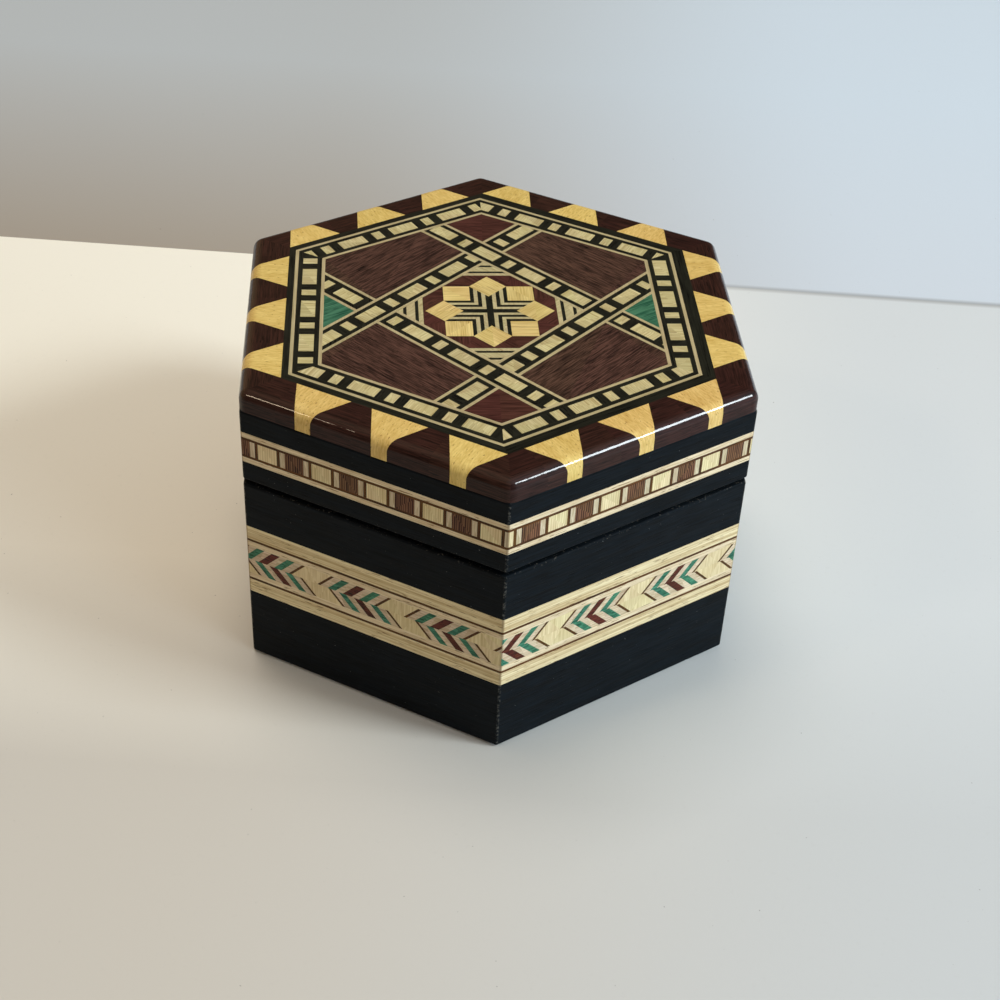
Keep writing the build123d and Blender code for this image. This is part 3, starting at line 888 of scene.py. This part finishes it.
def add_floor_pad(material):
    """The loose pad on the floor: card and thin foam under velvet, crowned and soft at its edge."""
    reach, low, high = size_of("base_floor_pad")
    thick = high - low
    rings = [
        hexagon_ring(reach - 0.9, low, 0.5),
        hexagon_ring(reach - 0.25, low + 0.25 * thick, 0.8, -0.2),
        hexagon_ring(reach - 0.1, low + 0.5 * thick, 0.9, -0.25),
        hexagon_ring(reach - 0.45, low + 0.72 * thick, 1.0, -0.25),
        hexagon_ring(reach - 1.3, low + 0.84 * thick, 1.1, -0.2),
        hexagon_ring(reach - 3.0, low + 0.90 * thick, 1.0, -0.1),
        hexagon_ring(reach - 7.0, low + 0.95 * thick, 0.6),
        hexagon_ring(reach - 14.0, low + 0.98 * thick, 0.3),
        hexagon_ring(reach * 0.3, low + 0.995 * thick),
    ]
    pad = closed_piece("floor_pad", rings, low, high, material)
    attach(pad, "base")
    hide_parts("base_floor_pad")


def add_wall_lining(material):
    """Velvet stretched over the walls' inner faces, rolled over at the top."""
    reach, low, high = size_of("base_wall_lining")
    inner = reach - WALL_LINING
    rings = [
        hexagon_ring(reach - 0.02, low + 0.1),
        hexagon_ring(reach - 0.02, low + 0.5 * (high - low)),
        hexagon_ring(reach - 0.02, high - 0.55),
        hexagon_ring(reach - 0.18, high - 0.16),
        hexagon_ring(reach - 0.5, high),
        hexagon_ring(reach - 0.82, high - 0.16, 0.0, 0.04),
        hexagon_ring(inner + 0.03, high - 0.6, 0.12, 0.1),
        hexagon_ring(inner, high - 2.0, 0.2, 0.18),
        hexagon_ring(inner, high - 8.0, 0.25, 0.22),
        hexagon_ring(inner, low + 8.0, 0.25, 0.22),
        hexagon_ring(inner, low + 1.2, 0.2, 0.18),
        hexagon_ring(inner + 0.25, low + 0.1, 0.1, 0.08),
    ]
    lining = looped_piece("wall_lining", rings, material)
    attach(lining, "base")
    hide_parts("base_wall_lining")


def add_ceiling_lining(material):
    """Velvet over card, pressed up under the lid board."""
    reach, low, high = size_of("lid_ceiling_lining")
    rings = [
        hexagon_ring(reach * 0.4, low + 0.02),
        hexagon_ring(reach - 10.0, low + 0.04, 0.2),
        hexagon_ring(reach - 3.0, low + 0.08, 0.4),
        hexagon_ring(reach - 0.8, low + 0.2, 0.6, -0.1),
        hexagon_ring(reach - 0.15, low + 0.5, 0.5, -0.1),
        hexagon_ring(reach - 0.3, high, 0.3),
    ]
    lining = closed_piece("ceiling_lining", rings, low, high, material)
    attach(lining, "lid")
    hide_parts("lid_ceiling_lining")


def add_underside_felt(material):
    """Felt glued under the floor board, soft at its edge."""
    reach, low, high = size_of("base_underside_felt")
    rings = [
        hexagon_ring(reach * 0.4, low),
        hexagon_ring(reach - 4.0, low + 0.01, 0.2),
        hexagon_ring(reach - 0.6, low + 0.05, 0.4),
        hexagon_ring(reach - 0.12, low + 0.35, 0.3),
        hexagon_ring(reach - 0.02, high, 0.2),
    ]
    sheet = closed_piece("underside_felt", rings, low, high, material)
    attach(sheet, "base")
    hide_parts("base_underside_felt")


VELVET = velvet()
add_floor_pad(VELVET)
add_wall_lining(VELVET)
add_ceiling_lining(VELVET)
add_underside_felt(felt())


# The table, what lies behind its far edge, and the light

TABLE_EDGE = ((-0.1313, 0.0631), (0.0381, 0.1351))  # two places on its far edge
EDGE_TURN = math.atan2(TABLE_EDGE[1][1] - TABLE_EDGE[0][1], TABLE_EDGE[1][0] - TABLE_EDGE[0][0])
EDGE_BACK = (TABLE_EDGE[0][1] * math.cos(EDGE_TURN) - TABLE_EDGE[0][0] * math.sin(EDGE_TURN)) / MM
STAGE_REACH = 6.0
WARM_LIGHT_END, COOL_LIGHT_END = -60.0, 95.0  # along the table's edge, in millimetres: where the painted warm light of the left turns into the painted cool light of the right
LAMP_AIM = Vector((0, 0, 0.04))  # the place on the box that lamps look at


def plane(name, corners, material):
    """One flat stage piece from its corners."""
    mesh = bpy.data.meshes.new(name)
    mesh.from_pydata(corners, [], [tuple(range(len(corners)))])
    mesh.materials.append(material)
    piece = bpy.data.objects.new(name, mesh)
    bpy.context.scene.collection.objects.link(piece)


def painted(name, far, near, depth, roughness):
    """A pale paint holding painted light and shade: its tone drifts from left to right as the painted light
    changes, and from the far side to painted shade on the near one.

    Far and near each hold a left and a right colour; the near ones hold the painted shade. Depth is where
    near turns into far.
    """
    m = Shader(name)
    along, back, _ = m.parts(m.rotated(m.place, -EDGE_TURN))
    # The share of the painted cool light of the right against the painted warm light and shade of the left.
    across = m.steps(along, WARM_LIGHT_END, COOL_LIGHT_END, smooth=True)
    far_tone = m.mix(across, colour(*far[0]), colour(*far[1]))
    near_shaded_tone = m.mix(across, colour(*near[0]), colour(*near[1]))
    # Painted shade: the near colours take over towards the near side.
    base = m.mix(m.steps(back, *depth), near_shaded_tone, far_tone)
    mottle = m.noise(m.place, 1.2, 1.2, detail=3.0, roughness=0.6)
    base = m.mix(m.steps(mottle, 0.6, 0.8, 0.0, 0.06), base, colour(150, 146, 140))
    from_edge = m.maths("ABSOLUTE", m.maths("SUBTRACT", back, EDGE_BACK))
    specks = m.steps(m.noise(m.place, 0.8, 0.8, detail=1.0, roughness=0.5), 0.80, 0.83)
    base = m.mix(m.maths("MULTIPLY", specks, 0.5), base, colour(90, 84, 76))
    # A thin line of painted shade along the far edge, where the table meets what lies behind it, stronger on
    # the right.
    far_edge_shade = m.maths("MULTIPLY", m.steps(from_edge, 0.2, 1.6, 0.5, 0.0), across)
    base = m.mix(far_edge_shade, base, colour(120, 118, 112))
    m.feed(m.surface.inputs["Base Color"], base)
    m.surface.inputs["Roughness"].default_value = roughness
    m.surface.inputs["Specular IOR Level"].default_value = 0.3
    return m.material


def add_stage():
    """A pale table top, and the cooler tone beyond its far edge, both painted with light and shade."""
    left, right = Vector((*TABLE_EDGE[0], 0)), Vector((*TABLE_EDGE[1], 0))
    ahead = (right - left).normalized()
    near = Vector((ahead.y, -ahead.x, 0))
    left -= ahead * STAGE_REACH
    right += ahead * STAGE_REACH
    span = near * 2 * STAGE_REACH
    table = [left, left + span, right + span, right]
    # The table's paint with painted light: warm on the far left and cool on the right, with painted shade on
    # the near side in front of the box.
    table_paint_and_light = painted(
        "table_paint_and_light",
        far=((252, 246, 230), (213, 217, 218)),
        near=((204, 197, 185), (203, 206, 206)),
        depth=(-60.0, -5.0),
        roughness=0.55,
    )
    plane("table", table, table_paint_and_light)
    beyond = [right, right - span, left - span, left]
    # What lies beyond, with painted shade on the left, darkest and warmest on the near left, and painted cool
    # light on the right.
    beyond_paint_and_light = painted(
        "beyond_paint_and_light",
        far=((186, 190, 191), (206, 218, 228)),
        near=((168, 158, 145), (206, 214, 222)),
        depth=(110.0, 220.0),
        roughness=0.8,
    )
    plane("beyond", beyond, beyond_paint_and_light)


def add_lamp(name, direction, distance, size, level, tint, mirrored=True):
    """A soft rectangular lamp that looks at the box. Level is how brightly it lights a white card."""
    data = bpy.data.lights.new(name, "AREA")
    data.shape = "RECTANGLE"
    data.size, data.size_y = size
    data.energy = level * (math.pi * distance) ** 2
    data.color = tint
    lamp = bpy.data.objects.new(name, data)
    towards = Vector(direction).normalized()
    lamp.location = towards * distance + LAMP_AIM
    lamp.rotation_euler = towards.to_track_quat("Z", "Y").to_euler()
    lamp.visible_glossy = mirrored
    bpy.context.scene.collection.objects.link(lamp)


def add_light():
    """A window and soft side light from the right, a faint lamp at the front left, and the room."""
    add_lamp("window", (0.775, 0.158, 0.612), 1.6, (0.34, 0.38), level=0.55, tint=(0.86, 0.95, 1.0))
    side_tint = (0.65, 0.83, 1.03)
    add_lamp("side", (0.95, 0.0, 0.17), 1.6, (1.4, 0.5), level=0.75, tint=side_tint, mirrored=False)
    add_lamp("room", (-0.465, -0.578, 0.67), 1.8, (0.16, 0.16), level=0.045, tint=(1.0, 0.78, 0.55))
    top_tint = (1.0, 0.97, 0.93)
    add_lamp("ceiling", (-0.22, 0.16, 0.96), 1.8, (0.8, 0.8), level=0.36, tint=top_tint, mirrored=False)
    add_room_light()


def add_room_light():
    """The light from all round: cool from the right and above, warm from the left."""
    world = bpy.data.worlds.new("room_light")
    world.use_nodes = True
    w = Nodes(world.node_tree)
    x, y, z = w.parts(w.node("TexCoord").outputs["Generated"])
    right = w.steps(x, 0.15, 0.9, 0.0, 0.55, smooth=True)
    right = w.maths("MULTIPLY", right, w.steps(y, -0.45, 0.15, smooth=True))
    left = w.steps(x, -1.0, -0.35, 0.46, 0.05, smooth=True)
    above = w.steps(z, 0.62, 1.0, 0.0, 0.50, smooth=True)
    level = w.maths("ADD", w.maths("ADD", right, left), above)
    warm, cool = (1.0, 0.68, 0.38, 1.0), (0.80, 0.92, 1.0, 1.0)
    tint = w.mix(w.steps(x, -0.6, 0.6), warm, cool)
    background = w.tree.nodes["Background"]
    w.feed(background.inputs["Strength"], level)
    w.feed(background.inputs["Color"], tint)
    bpy.context.scene.world = world
    bpy.context.scene.view_settings.view_transform = "Standard"


add_stage()
add_light()
